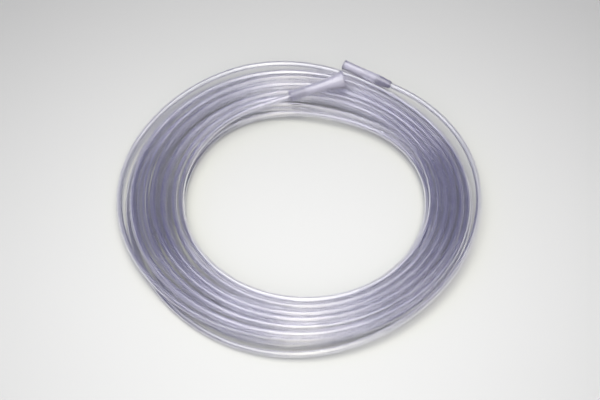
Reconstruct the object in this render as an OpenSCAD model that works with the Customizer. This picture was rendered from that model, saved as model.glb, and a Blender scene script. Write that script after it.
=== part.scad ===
// Coil of clear supply tubing: one long soft tube laid in three loose layers,
// with a flared funnel connector on its inner end and a slim sleeve on its outer end.
// The coil lies flat, the middle of its footprint is the origin and +Z is up.

/* [Tube] */
// Outside diameter of the tube
tube_od = 5; // [4:0.1:6.5]
// Inside diameter of the tube
tube_id = 3; // [1.5:0.1:3.4]
// Air left between strands that lie on each other
strand_gap = 0.1; // [0.05:0.05:0.5]

/* [Coil] */
// Mean radius of the eye, to the middle of the innermost strand
eye_radius = 100; // [80:1:120]
// How far the bottom layer's eye sits off the middle of the coil
eye_lean = 5; // [0:0.5:8]
// How much further each layer's eye sits off than that of the layer below
eye_lean_step = 2; // [0:0.5:3]
// Direction in which the eye sits off the middle
eye_lean_angle = -50; // [-90:5:0]
// How far the two lower layers sag into the eye at the back
eye_sag = 13; // [0:0.5:15]
// Direction of that sag
eye_sag_angle = 70; // [60:5:80]
// Turns in each of the three layers
turns = 6; // [4:1:6]
// Least free room beside a strand
strand_room = 0.65; // [0.3:0.05:2]
// How much narrower each layer is than the one below
layer_step = 3.5; // [2:0.5:5]
// How far each layer up draws in where the outer end climbs past it
give_way = 4.4; // [3:0.1:5]
// Direction in which the layers draw in
give_way_angle = 52; // [45:1:60]
// Share of the free room that strands wander to either side
wander = 0.8; // [0:0.05:0.8]
// How far the bottom layer strays beyond the rim
stray = 9.5; // [0:0.5:12]
// Share of that by which each layer up strays less
stray_fall = 0.5; // [0:0.05:0.5]
// Direction in which the bottom layer strays
stray_angle = 258; // [250:2:290]
// Turn of that direction from one layer to the next one up
stray_turn = -70; // [-90:5:-50]

/* [Ends] */
// Direction of the coil's inner end from the middle
inner_end_angle = 110; // [105:1:115]
// Direction of the coil's outer end from the middle
outer_end_angle = 52; // [45:1:60]
// Straight tube between the coil and the funnel
funnel_lead = 25; // [15:1:35]
// Straight tube between the coil and the sleeve
sleeve_lead = 6; // [4:1:10]
// How far the outer end bends inwards before its sleeve
sleeve_bend = 8; // [6:0.5:9]
// Depth to which the tube is bonded into each connector
bond_depth = 14; // [8:0.5:18]
// Film of cement around the bonded tube
bond_gap = 0.05; // [0.02:0.01:0.1]
// Length of the stop that the bonded tube ends against
stop_length = 2; // [1:0.5:4]

/* [Funnel connector] */
// Length of the funnel connector
funnel_length = 50; // [46:1:70]
// Thickness of its neck around the tube
funnel_neck_wall = 1.75; // [1:0.05:2.5]
// How far its collar stands out from the neck
funnel_collar_step = 0.7; // [0.3:0.1:1.5]
// Length of that collar
funnel_collar_length = 3.5; // [2:0.5:6]
// Thickness of its barrel around the spigot socket
funnel_barrel_wall = 1.8; // [1.2:0.1:2.5]
// Diameter of the mouth, across its rim bead
funnel_mouth_d = 16.5; // [14:0.5:20]
// Length of the flared mouth
funnel_flare_length = 17; // [12:1:19]
// Thickness of the wall of the mouth, and of its rim bead
funnel_mouth_wall = 1.4; // [1:0.1:2]
// Diameter of the socket for a spigot
funnel_socket_d = 6.4; // [5:0.1:8]
// Length of that socket
funnel_socket_length = 14; // [8:0.5:15]

/* [Sleeve connector] */
// Length of the sleeve connector
sleeve_length = 47; // [42:1:60]
// Thickness of the sleeve around its spigot socket
sleeve_wall = 1.25; // [0.8:0.05:2]
// Thickness of its tail around the tube
sleeve_tail_wall = 0.85; // [0.5:0.05:1.2]
// How far the rim at its mouth stands out
sleeve_rim_step = 0.35; // [0.2:0.05:0.6]
// Length over which the tail tapers
sleeve_taper_length = 10; // [4:0.5:13]
// Diameter of the socket for a spigot
sleeve_socket_d = 6; // [5:0.1:8]
// Length of that socket
sleeve_socket_length = 20; // [10:0.5:22]

/* [Fineness] */
// Rings of facets in one turn of the tube
rings_per_turn = 27; // [16:1:27]
// Sides of the tube
tube_sides = 6; // [4:2:6]

/* [Hidden] */
$fn = 64;

clear_violet = [0.80, 0.79, 0.90, 0.55];

bond_r = tube_od / 2 + bond_gap;
funnel_neck_r = bond_r + funnel_neck_wall;
funnel_collar_r = funnel_neck_r + funnel_collar_step;
funnel_socket_r = funnel_socket_d / 2;
funnel_mouth_r = funnel_mouth_d / 2;
sleeve_socket_r = sleeve_socket_d / 2;
sleeve_r = max(sleeve_socket_r, bond_r) + sleeve_wall;
sleeve_rim_r = sleeve_r + sleeve_rim_step;

// The path is measured in turns from the coil's inner end, which lies on top,
// to its outer end, which leaves the bottom layer.
layer_rise = tube_od + strand_gap;
path_end = 3 * turns - (inner_end_angle - outer_end_angle) / 360;
layer_change = 0.24;
bend_span = 1 / 6;
inner_rise_span = 0.33;
outer_rise_span = 0.38;
outer_level_span = 0.12;
wander_waves = 1.37;
bulge_power = 4;
small_step = 0.001;

// The top layer is the tightest, where its eye leans towards its rim
rim_radius = eye_radius + eye_lean + 2 * eye_lean_step + 2 * layer_step + turns * (layer_rise + strand_room);

function ease(v) = let (c = min(1, max(0, v))) c * c * (3 - 2 * c);
function unit(v) = v / norm(v);
function bulge(a) = pow(max(0, cos(a)), bulge_power);
function angle_at(u) = inner_end_angle + 360 * u;

// 2 on the top layer, 1 on the middle one and 0 on the bottom one
function layer_at(u) =
    2 - ease((u - turns) / layer_change + 0.5) - ease((u - 2 * turns) / layer_change + 0.5);

// 0 at the eye and 1 at the rim: out along the top, in along the middle, out along the bottom
function spread_at(u) = u < turns ? u / turns : abs(2 - u / turns);

function eye_reach(a, layer) =
    eye_radius + (eye_lean + layer * eye_lean_step) * cos(a - eye_lean_angle)
    - eye_sag * min(1, 2 - layer) * bulge(a - eye_sag_angle);

function rim_reach(a, layer) =
    rim_radius - layer * layer_step - (layer + 0.5) * give_way * bulge(a - give_way_angle)
    + stray * (1 - stray_fall * layer) * bulge(a - stray_angle - layer * stray_turn);

// Distance of the strand from the winding's middle
function reach_at(u) =
    let (
        a = angle_at(u),
        layer = layer_at(u),
        spread = spread_at(u),
        eye = eye_reach(a, layer),
        band = rim_reach(a, layer) - eye,
        room = band / turns - layer_rise,
        bend = max(0, (u - path_end) / bend_span + 1)
    )
    eye + spread * band
    + wander * room / 2 * sin(360 * wander_waves * u)
    - sleeve_bend * bend * bend;

// The inner end rises until its funnel lies on the top layer
inner_slope = 1 / (inner_rise_span * PI * reach_at(0));
funnel_need = tube_od / 2 + funnel_mouth_r + strand_gap;
collar_need = tube_od / 2 + funnel_collar_r + strand_gap;
inner_rise = max(
    funnel_need / (1 + inner_slope * (funnel_lead + funnel_length)),
    collar_need / (1 + inner_slope * funnel_lead)
);

// The outer end rises until its sleeve clears the middle layer
outer_rise = layer_rise + tube_od / 2 + sleeve_rim_r + strand_gap;

function height_at(u) =
    tube_od / 2 + layer_at(u) * layer_rise
    + inner_rise * pow(max(0, 1 - u / inner_rise_span), 2)
    + outer_rise * ease((u - path_end + outer_level_span) / outer_rise_span + 1);

function strand_at(u) =
    [reach_at(u) * cos(angle_at(u)), reach_at(u) * sin(angle_at(u)), height_at(u)];

// Directions in which the two ends leave the coil
inner_way = unit(strand_at(0) - strand_at(small_step));
outer_way = unit(strand_at(path_end) - strand_at(path_end - small_step));

// Middle of every ring of facets, from the end in the funnel to the end in the sleeve
winding = [
    strand_at(0) + inner_way * (funnel_lead + bond_depth - bond_gap),
    strand_at(0) + inner_way * funnel_lead,
    for (i = [0 : floor(path_end * rings_per_turn) - 1]) strand_at(i / rings_per_turn),
    strand_at(path_end),
    strand_at(path_end) + outer_way * sleeve_lead,
    strand_at(path_end) + outer_way * (sleeve_lead + bond_depth - bond_gap)
];

// The middle of the footprint goes to the origin
winding_x = [for (p = winding) p.x];
winding_y = [for (p = winding) p.y];
footprint_middle = [max(winding_x) + min(winding_x), max(winding_y) + min(winding_y), 0] / 2;
route = [for (p = winding) p - footprint_middle];
last = len(route) - 1;

// One ring of section points around a place on the route, with a corner at its foot
function ring_at(i, d) =
    let (
        way = unit(route[min(i + 1, last)] - route[max(i - 1, 0)]),
        side = unit(cross([0, 0, 1], way)),
        up = cross(way, side)
    )
    [for (k = [0 : tube_sides - 1])
        let (a = 360 * k / tube_sides - 90)
        route[i] + d / 2 * (cos(a) * side + sin(a) * up)];

function turned_over(face) = [for (j = [len(face) - 1 : -1 : 0]) face[j]];

// Quadrilaterals of one wall, from each ring to the next, seen from outside the tube
function wall_faces(first) = [
    for (i = [0 : last - 1], k = [0 : tube_sides - 1])
        let (
            a = first + i * tube_sides + k,
            b = first + i * tube_sides + (k + 1) % tube_sides
        )
        [a, a + tube_sides, b + tube_sides, b]
];

// Quadrilaterals across the wall at the start of the tube
function end_faces(outer, inner) = [
    for (k = [0 : tube_sides - 1])
        let (n = (k + 1) % tube_sides)
        [outer + k, outer + n, inner + n, inner + k]
];

module tube() {
    bore_first = (last + 1) * tube_sides;
    last_ring = last * tube_sides;
    color(clear_violet)
    polyhedron(
        points = [for (d = [tube_od, tube_id], i = [0 : last]) each ring_at(i, d)],
        faces = concat(
            wall_faces(0),
            [for (face = wall_faces(bore_first)) turned_over(face)],
            end_faces(0, bore_first),
            [for (face = end_faces(last_ring, bore_first + last_ring)) turned_over(face)]
        )
    );
}

// Puts a connector's tail on the route and points its mouth along the way out
module at_end(place, way) {
    translate(place)
    rotate([0, acos(way.z), atan2(way.y, way.x)])
    children();
}

module funnel_connector() {
    socket_start = bond_depth + stop_length;
    bead_r = funnel_mouth_wall / 2;
    color(clear_violet)
    at_end(route[1], inner_way)
    rotate_extrude() {
        polygon([
            [bond_r, 0],
            [funnel_collar_r, 0],
            [funnel_collar_r, funnel_collar_length],
            [funnel_neck_r, funnel_collar_length],
            [funnel_socket_r + funnel_barrel_wall, funnel_length - funnel_flare_length],
            [funnel_mouth_r - bead_r / 2, funnel_length - bead_r],
            [funnel_mouth_r - funnel_mouth_wall, funnel_length - bead_r],
            [funnel_socket_r, socket_start + funnel_socket_length],
            [funnel_socket_r, socket_start],
            [tube_id / 2, socket_start],
            [tube_id / 2, bond_depth],
            [bond_r, bond_depth]
        ]);
        translate([funnel_mouth_r - bead_r, funnel_length - bead_r])
        circle(r = bead_r);
    }
}

module sleeve_connector() {
    socket_start = sleeve_length - sleeve_socket_length;
    bead_r = (sleeve_rim_r - sleeve_socket_r) / 4;
    color(clear_violet)
    at_end(route[last - 1], outer_way)
    rotate_extrude() {
        polygon([
            [bond_r, 0],
            [bond_r + sleeve_tail_wall, 0],
            [sleeve_r, sleeve_taper_length],
            [sleeve_r, sleeve_length],
            [sleeve_socket_r, sleeve_length],
            [sleeve_socket_r, socket_start],
            [tube_id / 2, socket_start],
            [tube_id / 2, bond_depth],
            [bond_r, bond_depth]
        ]);
        translate([sleeve_rim_r - bead_r, sleeve_length - bead_r])
        circle(r = bead_r);
    }
}

tube();
funnel_connector();
sleeve_connector();
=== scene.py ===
# Coil of clear supply tubing: a funnel connector on its inner end, a sleeve on its outer end
from math import acos, atan2, cos, floor, pi, radians, sin

import bmesh
import bpy
from mathutils import Matrix, Vector


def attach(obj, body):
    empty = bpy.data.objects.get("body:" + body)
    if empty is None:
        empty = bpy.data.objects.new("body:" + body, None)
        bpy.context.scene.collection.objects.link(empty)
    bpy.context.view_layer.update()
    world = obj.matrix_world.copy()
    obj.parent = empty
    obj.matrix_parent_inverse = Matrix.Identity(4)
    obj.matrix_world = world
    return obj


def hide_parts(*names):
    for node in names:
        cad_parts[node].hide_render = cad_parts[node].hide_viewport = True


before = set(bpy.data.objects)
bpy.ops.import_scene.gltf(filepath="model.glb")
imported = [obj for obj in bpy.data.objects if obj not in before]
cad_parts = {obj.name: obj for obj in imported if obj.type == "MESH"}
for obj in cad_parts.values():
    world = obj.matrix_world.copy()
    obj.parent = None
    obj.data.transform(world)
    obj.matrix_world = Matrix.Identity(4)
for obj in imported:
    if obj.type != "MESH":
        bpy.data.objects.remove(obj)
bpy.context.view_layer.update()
mm = 0.001
print("frame: nodes", sorted(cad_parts))


# Shader maths: one socket that takes Python operators
class Sock:
    def __init__(self, tree, socket):
        self.tree = tree
        self.socket = socket

    def math(self, operation, first, second):
        inputs = {0: first, 1: second}
        return addNode(self.tree, "ShaderNodeMath", {"operation": operation}, inputs)[0]

    def __add__(self, other):
        return self.math("ADD", self, other)

    def __sub__(self, other):
        return self.math("SUBTRACT", self, other)

    def __rsub__(self, other):
        return self.math("SUBTRACT", other, self)

    def __mul__(self, other):
        return self.math("MULTIPLY", self, other)

    def __pow__(self, other):
        return self.math("POWER", self, other)

    __radd__ = __add__
    __rmul__ = __mul__


def pick(sockets, name):  # by number, or by the name that shows in the editor
    if isinstance(name, int):
        return sockets[name]
    return next(s for s in sockets if s.name == name and s.enabled)


class Made:  # a node whose outputs are picked by name or number
    def __init__(self, tree, node):
        self.tree = tree
        self.node = node

    def __getitem__(self, name):
        return Sock(self.tree, pick(self.node.outputs, name))


def addNode(tree, kind, settings, inputs):  # settings first, then values or links
    node = tree.nodes.new(kind)
    for name, value in settings.items():
        setattr(node, name, value)
    for name, value in inputs.items():
        socket = pick(node.inputs, name)
        if isinstance(value, Sock):
            tree.links.new(value.socket, socket)
        else:
            socket.default_value = value
    return Made(tree, node)


def mixColour(factor, first, second):  # colours are sockets or three numbers
    first, second = (c if isinstance(c, Sock) else (*c, 1) for c in (first, second))
    inputs = {"Factor": factor, "A": first, "B": second}
    return addNode(factor.tree, "ShaderNodeMix", {"data_type": "RGBA"}, inputs)["Result"]


def smoothStep(value, span, ends):
    settings = {"interpolation_type": "SMOOTHSTEP"}
    inputs = {
        "Value": value,
        "From Min": span[0],
        "From Max": span[1],
        "To Min": ends[0],
        "To Max": ends[1],
    }
    return addNode(value.tree, "ShaderNodeMapRange", settings, inputs)["Result"]


def newMaterial(name):
    material = bpy.data.materials.new(name)
    material.use_nodes = True
    material.node_tree.nodes.clear()
    return material, material.node_tree


# The winding, in millimetres, degrees and turns from the inner end, as the tube was laid
coil = {
    "tubeOd": 5.0,
    "tubeId": 3.0,
    "strandGap": 0.1,
    "eyeRadius": 100.0,
    "eyeLean": 5.0,
    "eyeLeanStep": 2.0,
    "eyeLeanAngle": -50.0,
    "eyeSag": 13.0,
    "eyeSagAngle": 70.0,
    "turns": 6,  # in each of the three layers
    "strandRoom": 0.65,
    "layerStep": 3.5,
    "giveWay": 4.4,
    "giveWayBase": 0.5,  # of a layer's share, for the bottom layer
    "giveWayAngle": 52.0,
    "wander": 0.8,
    "stray": 9.5,
    "strayFall": 0.5,
    "strayAngle": 258.0,
    "strayTurn": -70.0,
    "innerEndAngle": 110.0,
    "outerEndAngle": 52.0,
    "funnelLead": 25.0,
    "sleeveLead": 6.0,
    "sleeveBend": 8.0,
    "bondDepth": 14.0,
    "bondGap": 0.05,
    "stopLength": 2.0,
    "cadRings": 27,  # rings of the solid in one turn, which set the middle of the footprint
    "fineRings": 120,
    "sides": 20,
}
funnel = {
    "length": 50.0,
    "neckWall": 1.75,
    "collarStep": 0.7,
    "collarLength": 3.5,
    "barrelWall": 1.8,
    "mouthD": 16.5,
    "flareLength": 17.0,
    "flareRing": 0.88,  # place of a ring on the flare, from its start to the lip
    "mouthWall": 1.4,
    "lipArc": (-70, 180),
    "lipSteps": 14,
    "lipRing": 0.1,  # place of a ring inside the mouth, from the lip to the throat
    "socketD": 6.4,
    "socketLength": 14.0,
    "edgeRound": 0.3,
    "tailEdge": 0.6,  # lengths from each end with the painted edge shade
    "mouthEdge": 1.4,
}
sleeve = {
    "length": 47.0,
    "wall": 1.25,
    "tailWall": 0.85,
    "rimStep": 0.35,
    "rimBead": 0.25,  # radius of the rim's rounding, as a share of its wall
    "rimArc": (-80, 90),
    "rimSteps": 10,
    "rimRing": 0.94,  # place of a ring on the barrel, from the taper to the rim
    "ringInset": 2.0,  # of the rings beyond the taper and inside the mouth
    "taperLength": 10.0,
    "socketD": 6.0,
    "socketLength": 20.0,
    "edgeRound": 0.25,
    # lengths from each end with the painted edge shade
    "tailEdge": 10.1,
    "mouthEdge": 1.0,
}
topLayer = 2  # the layers are 0, 1 and 2, from the bottom up
layerChange = 0.24  # turns that a change of layer takes
bendSpan = 1 / 6
innerRiseSpan = 0.33
outerRiseSpan = 0.38
outerLevelSpan = 0.12
wanderWaves = 1.37
bulgePower = 4
smallStep = 0.001

bondR = coil["tubeOd"] / 2 + coil["bondGap"]
seatR = coil["tubeOd"] / 2 - coil["bondGap"]  # inside the tube's wall, as cement leaves no air
seatDepth = coil["bondDepth"] - 2 * coil["bondGap"]
boreR = coil["tubeId"] / 2 - coil["bondGap"]
layerRise = coil["tubeOd"] + coil["strandGap"]
pathEnd = (topLayer + 1) * coil["turns"] - (coil["innerEndAngle"] - coil["outerEndAngle"]) / 360
rimRadius = (
    coil["eyeRadius"]
    + coil["eyeLean"]
    + topLayer * coil["eyeLeanStep"]
    + topLayer * coil["layerStep"]
    + coil["turns"] * (layerRise + coil["strandRoom"])
)
sleeveR = max(sleeve["socketD"] / 2, bondR) + sleeve["wall"]
sleeveRimR = sleeveR + sleeve["rimStep"]


def ease(value):
    c = min(1, max(0, value))
    return c * c * (3 - 2 * c)


def bulge(angle):
    return max(0, cos(radians(angle))) ** bulgePower


def layerAt(u):  # from the top layer down to the bottom one
    firstDown = ease((u - coil["turns"]) / layerChange + 0.5)
    secondDown = ease((u - 2 * coil["turns"]) / layerChange + 0.5)
    return topLayer - firstDown - secondDown


def spreadAt(u):  # 0 at the eye, 1 at the rim
    turns = coil["turns"]
    return u / turns if u < turns else abs(2 - u / turns)


def reachAt(u):
    angle = coil["innerEndAngle"] + 360 * u
    layer = layerAt(u)
    spread = spreadAt(u)
    lean = coil["eyeLean"] + layer * coil["eyeLeanStep"]
    sag = coil["eyeSag"] * min(1, topLayer - layer) * bulge(angle - coil["eyeSagAngle"])
    eye = coil["eyeRadius"] + lean * cos(radians(angle - coil["eyeLeanAngle"])) - sag
    giveWay = (layer + coil["giveWayBase"]) * coil["giveWay"]
    drawn = giveWay * bulge(angle - coil["giveWayAngle"])
    strayWay = angle - coil["strayAngle"] - layer * coil["strayTurn"]
    stray = coil["stray"] * (1 - coil["strayFall"] * layer) * bulge(strayWay)
    band = rimRadius - layer * coil["layerStep"] - drawn + stray - eye
    room = band / coil["turns"] - layerRise
    bend = max(0, (u - pathEnd) / bendSpan + 1)
    wander = coil["wander"] * room / 2 * sin(2 * pi * wanderWaves * u)
    return eye + spread * band + wander - coil["sleeveBend"] * bend * bend


innerSlope = 1 / (innerRiseSpan * pi * reachAt(0))
funnelNeed = coil["tubeOd"] / 2 + funnel["mouthD"] / 2 + coil["strandGap"]
collarR = bondR + funnel["neckWall"] + funnel["collarStep"]
collarNeed = coil["tubeOd"] / 2 + collarR + coil["strandGap"]
innerRise = max(
    funnelNeed / (1 + innerSlope * (coil["funnelLead"] + funnel["length"])),
    collarNeed / (1 + innerSlope * coil["funnelLead"]),
)
outerRise = layerRise + coil["tubeOd"] / 2 + sleeveRimR + coil["strandGap"]


def heightAt(u):
    level = coil["tubeOd"] / 2 + layerAt(u) * layerRise
    level += innerRise * max(0, 1 - u / innerRiseSpan) ** 2
    return level + outerRise * ease((u - pathEnd + outerLevelSpan) / outerRiseSpan + 1)


def strandAt(u):
    angle = radians(coil["innerEndAngle"] + 360 * u)
    return Vector((reachAt(u) * cos(angle), reachAt(u) * sin(angle), heightAt(u)))


innerWay = (strandAt(0) - strandAt(smallStep)).normalized()
outerWay = (strandAt(pathEnd) - strandAt(pathEnd - smallStep)).normalized()
innerBond = coil["funnelLead"] + coil["bondDepth"] - coil["bondGap"]
outerBond = coil["sleeveLead"] + coil["bondDepth"] - coil["bondGap"]


def windingPoints(rings):
    start = [strandAt(0) + innerWay * way for way in (innerBond, coil["funnelLead"])]
    turns = [strandAt(i / rings) for i in range(floor(pathEnd * rings))]
    end = [strandAt(pathEnd) + outerWay * way for way in (0, coil["sleeveLead"], outerBond)]
    return start + turns + end


def middleOf(points):
    xs = [p.x for p in points]
    ys = [p.y for p in points]
    return Vector((max(xs) + min(xs), max(ys) + min(ys), 0)) / 2


footprintMiddle = middleOf(windingPoints(coil["cadRings"]))
route = [(p - footprintMiddle) * mm for p in windingPoints(coil["fineRings"])]
routeLength = sum((b - a).length for a, b in zip(route, route[1:]))
print("route: points", len(route), "length", round(routeLength, 3))


# The tube: a round section along the route, with its wall turned inwards
def makeTube():
    line = bpy.data.curves.new("tubeLine", "CURVE")
    line.dimensions = "3D"
    line.twist_mode = "Z_UP"
    line.bevel_depth = coil["tubeOd"] / 2 * mm
    line.bevel_resolution = coil["sides"] // 2 - 2  # which makes that many sides
    spline = line.splines.new("POLY")
    spline.points.add(len(route) - 1)
    for knot, point in zip(spline.points, route):
        knot.co = (*point, 1)
    spline.use_smooth = True
    swept = bpy.data.objects.new("tubeSweep", line)
    bpy.context.scene.collection.objects.link(swept)
    wall = swept.modifiers.new("wall", "SOLIDIFY")
    wall.thickness = (coil["tubeOd"] - coil["tubeId"]) / 2 * mm
    wall.offset = -1  # inwards
    bpy.context.view_layer.update()
    ready = swept.evaluated_get(bpy.context.evaluated_depsgraph_get())
    mesh = bpy.data.meshes.new_from_object(ready)
    bpy.data.objects.remove(swept)
    mesh.name = "clearTube"
    piece = bpy.data.objects.new("clearTube", mesh)
    bpy.context.scene.collection.objects.link(piece)
    print("tube: faces", len(mesh.polygons), "uv", [layer.name for layer in mesh.uv_layers])
    return piece


def arc(centre, radius, ends, steps):
    first, last = ends
    angles = [radians(first + (last - first) * i / steps) for i in range(steps + 1)]
    return [(centre[0] + radius * cos(a), centre[1] + radius * sin(a)) for a in angles]


def between(first, last, share):
    return tuple(a + (b - a) * share for a, b in zip(first, last))


# The connectors' outlines: radius and height above the tail's end, in millimetres
def funnelOutline():
    length = funnel["length"]
    socketR = funnel["socketD"] / 2
    neckR = bondR + funnel["neckWall"]
    beadR = funnel["mouthWall"] / 2
    stop = coil["bondDepth"] + coil["stopLength"]
    beadCentre = (funnel["mouthD"] / 2 - beadR, length - beadR)
    lip = arc(beadCentre, beadR, funnel["lipArc"], funnel["lipSteps"])
    flare = (socketR + funnel["barrelWall"], length - funnel["flareLength"])
    throat = (socketR, stop + funnel["socketLength"])
    return [
        (seatR, 0),
        (collarR, 0),
        (collarR, funnel["collarLength"]),
        (neckR, funnel["collarLength"]),
        flare,
        between(flare, lip[0], funnel["flareRing"]),
        *lip,
        between(lip[-1], throat, funnel["lipRing"]),
        throat,
        (socketR, stop),
        (boreR, stop),
        (boreR, seatDepth),
        (seatR, seatDepth),
    ]


def sleeveOutline():
    length = sleeve["length"]
    socketR = sleeve["socketD"] / 2
    beadR = (sleeveRimR - socketR) * sleeve["rimBead"]
    socketStart = length - sleeve["socketLength"]
    rim = arc((sleeveRimR - beadR, length - beadR), beadR, sleeve["rimArc"], sleeve["rimSteps"])
    taper = (sleeveR, sleeve["taperLength"])
    return [
        (seatR, 0),
        (bondR + sleeve["tailWall"], 0),
        taper,
        (sleeveR, sleeve["taperLength"] + sleeve["ringInset"]),
        between(taper, rim[0], sleeve["rimRing"]),
        *rim,
        (socketR, length),
        (socketR, length - sleeve["ringInset"]),
        (socketR, socketStart),
        (boreR, socketStart),
        (boreR, seatDepth),
        (seatR, seatDepth),
    ]


# A connector: its outline spun about the tube's axis, with its hard edges rounded
connectorMesh = {
    "spinSteps": 72,
    "mergeGap": 1e-4,
    "hardAngle": 25,
    "edgeSegments": 3,
}


def makeConnector(name, fitting, outline, tail, way):
    bm = bmesh.new()
    corners = [bm.verts.new((r, 0, z)) for r, z in outline]
    edges = [bm.edges.new((a, b)) for a, b in zip(corners, corners[1:] + corners[:1])]
    bmesh.ops.spin(
        bm, geom=corners + edges, cent=(0, 0, 0), axis=(0, 0, 1), dvec=(0, 0, 0),
        angle=2 * pi, steps=connectorMesh["spinSteps"], use_merge=True,
        use_normal_flip=False, use_duplicate=False,
    )
    bmesh.ops.remove_doubles(bm, verts=bm.verts[:], dist=connectorMesh["mergeGap"])
    bmesh.ops.recalc_face_normals(bm, faces=bm.faces[:])
    hardAngle = radians(connectorMesh["hardAngle"])
    hard = [e for e in bm.edges if len(e.link_faces) == 2 and e.calc_face_angle() > hardAngle]
    bmesh.ops.bevel(
        bm, geom=hard, offset=fitting["edgeRound"], offset_type="OFFSET", affect="EDGES",
        segments=connectorMesh["edgeSegments"], profile=0.5, material=-1, clamp_overlap=True,
    )
    tone = bm.verts.layers.float.new("edgeTone")  # painted edge shade: 1 where the plastic is thick or ends, where the colour is darkened to stand in for shade
    mouthEdge = fitting["length"] - fitting["mouthEdge"]
    for vert in bm.verts:
        vert[tone] = vert.co.z <= fitting["tailEdge"] or vert.co.z >= mouthEdge
    turn = Matrix.Rotation(atan2(way.y, way.x), 4, "Z") @ Matrix.Rotation(acos(way.z), 4, "Y")
    place = Matrix.Translation(tail) @ turn @ Matrix.Scale(mm, 4)
    bmesh.ops.transform(bm, matrix=place, verts=bm.verts[:])
    bmesh.ops.recalc_face_normals(bm, faces=bm.faces[:])
    mesh = bpy.data.meshes.new(name)
    bm.to_mesh(mesh)
    bm.free()
    mesh.shade_smooth()
    piece = bpy.data.objects.new(name, mesh)
    bpy.context.scene.collection.objects.link(piece)
    print("connector:", name, "faces", len(mesh.polygons))
    return piece


# Clear soft plastic: a violet tint that gathers where strands lie over each other
def clearPlastic(name, look):
    material, tree = newMaterial(name)
    coords = addNode(tree, "ShaderNodeTexCoord", {}, {})["Object"]
    cloud = addNode(
        tree, "ShaderNodeTexNoise", {},
        {"Vector": coords, "Scale": look["cloudScale"], "Detail": look["cloudDetail"]},
    )["Fac"]
    hue = mixColour(cloud, look["pale"], look["deep"])
    # painted shade: darkens the colour near a connector's tail and mouth
    if "edge" in look:
        paintedShadeMask = addNode(tree, "ShaderNodeAttribute", {"attribute_name": "edgeTone"}, {})["Fac"]
        hue = mixColour(paintedShadeMask, hue, look["edge"])
    shader = addNode(
        tree, "ShaderNodeBsdfPrincipled", {},
        {
            "Base Color": hue,
            "Roughness": look["roughness"] + look["unevenness"] * cloud,
            "IOR": look["ior"],
            "Transmission Weight": look["clearness"],
            "Coat Weight": look["gloss"],
            "Coat Roughness": look["glossRoughness"],
        },
    )["BSDF"]
    soak = addNode(
        tree, "ShaderNodeVolumeAbsorption", {},
        {"Color": (*look["tint"], 1), "Density": look["density"]},
    )["Volume"]
    shadowRay = addNode(tree, "ShaderNodeLightPath", {}, {})["Is Shadow Ray"]
    passing = addNode(
        tree, "ShaderNodeBsdfTransparent", {}, {"Color": (*look["shadow"], 1)},
    )["BSDF"]
    surface = addNode(
        tree, "ShaderNodeMixShader", {}, {0: shadowRay, 1: shader, 2: passing},
    )["Shader"]
    addNode(tree, "ShaderNodeOutputMaterial", {}, {"Surface": surface, "Volume": soak})
    return material


tubeLook = {
    "pale": (1.0, 1.0, 1.0),
    "deep": (0.985, 0.985, 1.0),
    "cloudScale": 60,
    "cloudDetail": 2,
    "roughness": 0.06,
    "unevenness": 0.02,
    "ior": 1.5,
    "clearness": 1.0,
    "gloss": 0.8,
    "glossRoughness": 0.03,
    "tint": (0.51, 0.485, 0.76),
    "density": 42,
    "shadow": (0.8, 0.8, 0.825),  # light that each surface lets through to the floor
}
fittingLook = {
    "pale": (0.93, 0.92, 0.97),
    "deep": (0.87, 0.86, 0.92),
    # painted edge shade, darker at the connectors' ends
    "edge": (0.58, 0.565, 0.65),
    "cloudScale": 60,
    "cloudDetail": 2,
    "roughness": 0.2,
    "unevenness": 0.08,
    "ior": 1.5,
    "clearness": 0.68,
    "gloss": 0.3,
    "glossRoughness": 0.03,
    "tint": (0.5, 0.5, 0.85),
    "density": 25,
    "shadow": (0.85, 0.84, 0.87),
}
tubePlastic = clearPlastic("clearTubePlastic", tubeLook)
fittingPlastic = clearPlastic("clearFittingPlastic", fittingLook)

tube = makeTube()
tube.data.materials.append(tubePlastic)
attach(tube, "root")
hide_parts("tube")

funnelEnd = makeConnector("funnelConnector", funnel, funnelOutline(), route[1], innerWay)
sleeveEnd = makeConnector("sleeveConnector", sleeve, sleeveOutline(), route[-2], outerWay)
for piece, node in ((funnelEnd, "funnel_connector"), (sleeveEnd, "sleeve_connector")):
    piece.data.materials.append(fittingPlastic)
    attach(piece, "root")
    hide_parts(node)


# The stage, in metres and degrees: pale floor with a painted pool of light, soft boxes, the room
# around them and the camera
studio = {
    "floorRadius": 4.0,
    "floorSides": 96,
    "floorColour": (0.9, 0.912, 0.815),
    "floorDark": (0, 0, 0),
    "floorBrightY": -0.13,  # middle of a painted pool of light, where the floor is palest; its colour darkens away from here
    # how fast the painted pool of light darkens
    "floorFall": 3.0,
    "floorRoughness": 0.6,
    "floorShine": 0.2,
    "stripPower": 22,  # higher makes the bright strip overhead narrower
    "stripGlow": (1.8, 1.74, 1.52),
    "wallSpan": (0.3, 0.75),  # the strip fades to the back between these
    "wallGlow": 0.05,
    "liftSpan": (0.2, 0.8),  # the sides brighten upwards between these
    "liftLean": 0.9,  # and more so on the left
    "sideGlow": (0.026, 0.024, 0.138),
    "highGlow": (0.11, 0.107, 0.34),
    "cameraTarget": (1.42 * mm, 2.19 * mm, 0),
    "cameraDistance": 1.0,
    "cameraRise": 53.3,
    "lens": 71.5,  # millimetres, as its sensor
    "sensorWidth": 36,
    "clearBounces": 64,  # a ray crosses four surfaces in every strand
    "glossBounces": 12,
}
softboxes = {
    "backBox": {"place": (-0.04, 0.3, 1.2), "size": (1.3, 0.6), "power": 6.4},
    "frontBox": {"place": (-0.05, -0.38, 1.2), "size": (1.3, 0.8), "power": 6.2},
}


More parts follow.
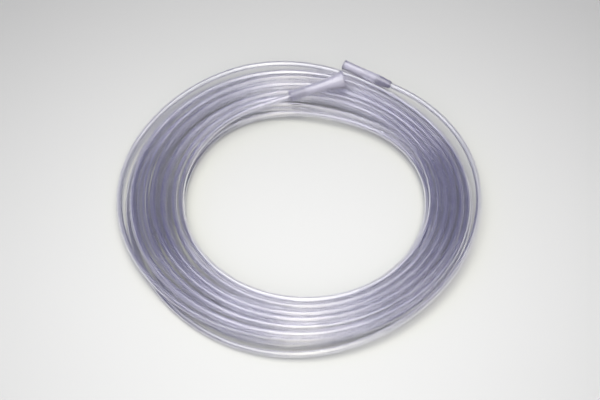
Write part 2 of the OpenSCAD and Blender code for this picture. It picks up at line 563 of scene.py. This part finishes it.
def makeFloor():
    bm = bmesh.new()
    bmesh.ops.create_circle(
        bm, cap_ends=True, segments=studio["floorSides"], radius=studio["floorRadius"],
    )
    mesh = bpy.data.meshes.new("floor")
    bm.to_mesh(mesh)
    bm.free()
    material, tree = newMaterial("paleFloor")
    coords = addNode(tree, "ShaderNodeTexCoord", {}, {})["Object"]
    parts = addNode(tree, "ShaderNodeSeparateXYZ", {}, {"Vector": coords})
    ahead = parts["Y"] - studio["floorBrightY"]
    # painted light falloff: the floor's colour darkens towards black away from the palest spot
    paintedPool = (1 + studio["floorFall"] * (parts["X"] * parts["X"] + ahead * ahead)) ** -1
    shader = addNode(
        tree, "ShaderNodeBsdfPrincipled", {},
        {
            "Base Color": mixColour(paintedPool, studio["floorDark"], studio["floorColour"]),
            "Roughness": studio["floorRoughness"],
            "Specular IOR Level": studio["floorShine"],
        },
    )["BSDF"]
    addNode(tree, "ShaderNodeOutputMaterial", {}, {"Surface": shader})
    mesh.materials.append(material)
    floorPiece = bpy.data.objects.new("floor", mesh)
    bpy.context.scene.collection.objects.link(floorPiece)


def makeSoftbox(name, box):  # aimed at the origin, in the middle of the coil
    lamp = bpy.data.lights.new(name, "AREA")
    lamp.shape = "RECTANGLE"
    lamp.size, lamp.size_y = box["size"]
    lamp.energy = box["power"]
    holder = bpy.data.objects.new(name, lamp)
    holder.location = box["place"]
    holder.rotation_euler = (-Vector(box["place"])).to_track_quat("-Z", "Y").to_euler()
    bpy.context.scene.collection.objects.link(holder)


def makeWorld():  # a bright strip overhead, from front to back, between dim violet sides
    world = bpy.data.worlds.new("studioRoom")
    world.use_nodes = True
    tree = world.node_tree
    tree.nodes.clear()
    way = addNode(tree, "ShaderNodeTexCoord", {}, {})["Generated"]
    parts = addNode(tree, "ShaderNodeSeparateXYZ", {}, {"Vector": way})
    wall = smoothStep(parts["Y"], studio["wallSpan"], (1, studio["wallGlow"]))
    strip = wall * (1 - parts["X"] * parts["X"]) ** studio["stripPower"]
    lift = smoothStep(parts["Z"] - studio["liftLean"] * parts["X"], studio["liftSpan"], (0, 1))
    sides = mixColour(lift, studio["sideGlow"], studio["highGlow"])
    shade = mixColour(strip, sides, studio["stripGlow"])
    sky = addNode(tree, "ShaderNodeBackground", {}, {"Color": shade, "Strength": 1})["Background"]
    addNode(tree, "ShaderNodeOutputWorld", {}, {"Surface": sky})
    bpy.context.scene.world = world


def makeCamera():
    rise = radians(studio["cameraRise"])
    target = Vector(studio["cameraTarget"])
    eye = target + studio["cameraDistance"] * Vector((0, -cos(rise), sin(rise)))
    lens = bpy.data.cameras.new("camera")
    lens.lens = studio["lens"]
    lens.sensor_width = studio["sensorWidth"]
    lens.sensor_fit = "HORIZONTAL"
    holder = bpy.data.objects.new("camera", lens)
    holder.location = eye
    holder.rotation_euler = (target - eye).to_track_quat("-Z", "Y").to_euler()
    bpy.context.scene.collection.objects.link(holder)
    bpy.context.scene.camera = holder


makeFloor()
for boxName, box in softboxes.items():
    makeSoftbox(boxName, box)
makeWorld()
makeCamera()

scene = bpy.context.scene
scene.view_settings.view_transform = "Standard"
scene.cycles.max_bounces = studio["clearBounces"]
scene.cycles.transmission_bounces = studio["clearBounces"]
scene.cycles.transparent_max_bounces = studio["clearBounces"]
scene.cycles.glossy_bounces = studio["glossBounces"]
scene.cycles.caustics_refractive = False  # the plastic lets lamp light through to the floor instead
scene.cycles.caustics_reflective = False
scene.cycles.use_denoising = True
scene.cycles.denoising_input_passes = "RGB"
print("stage: floor, lamps, camera")
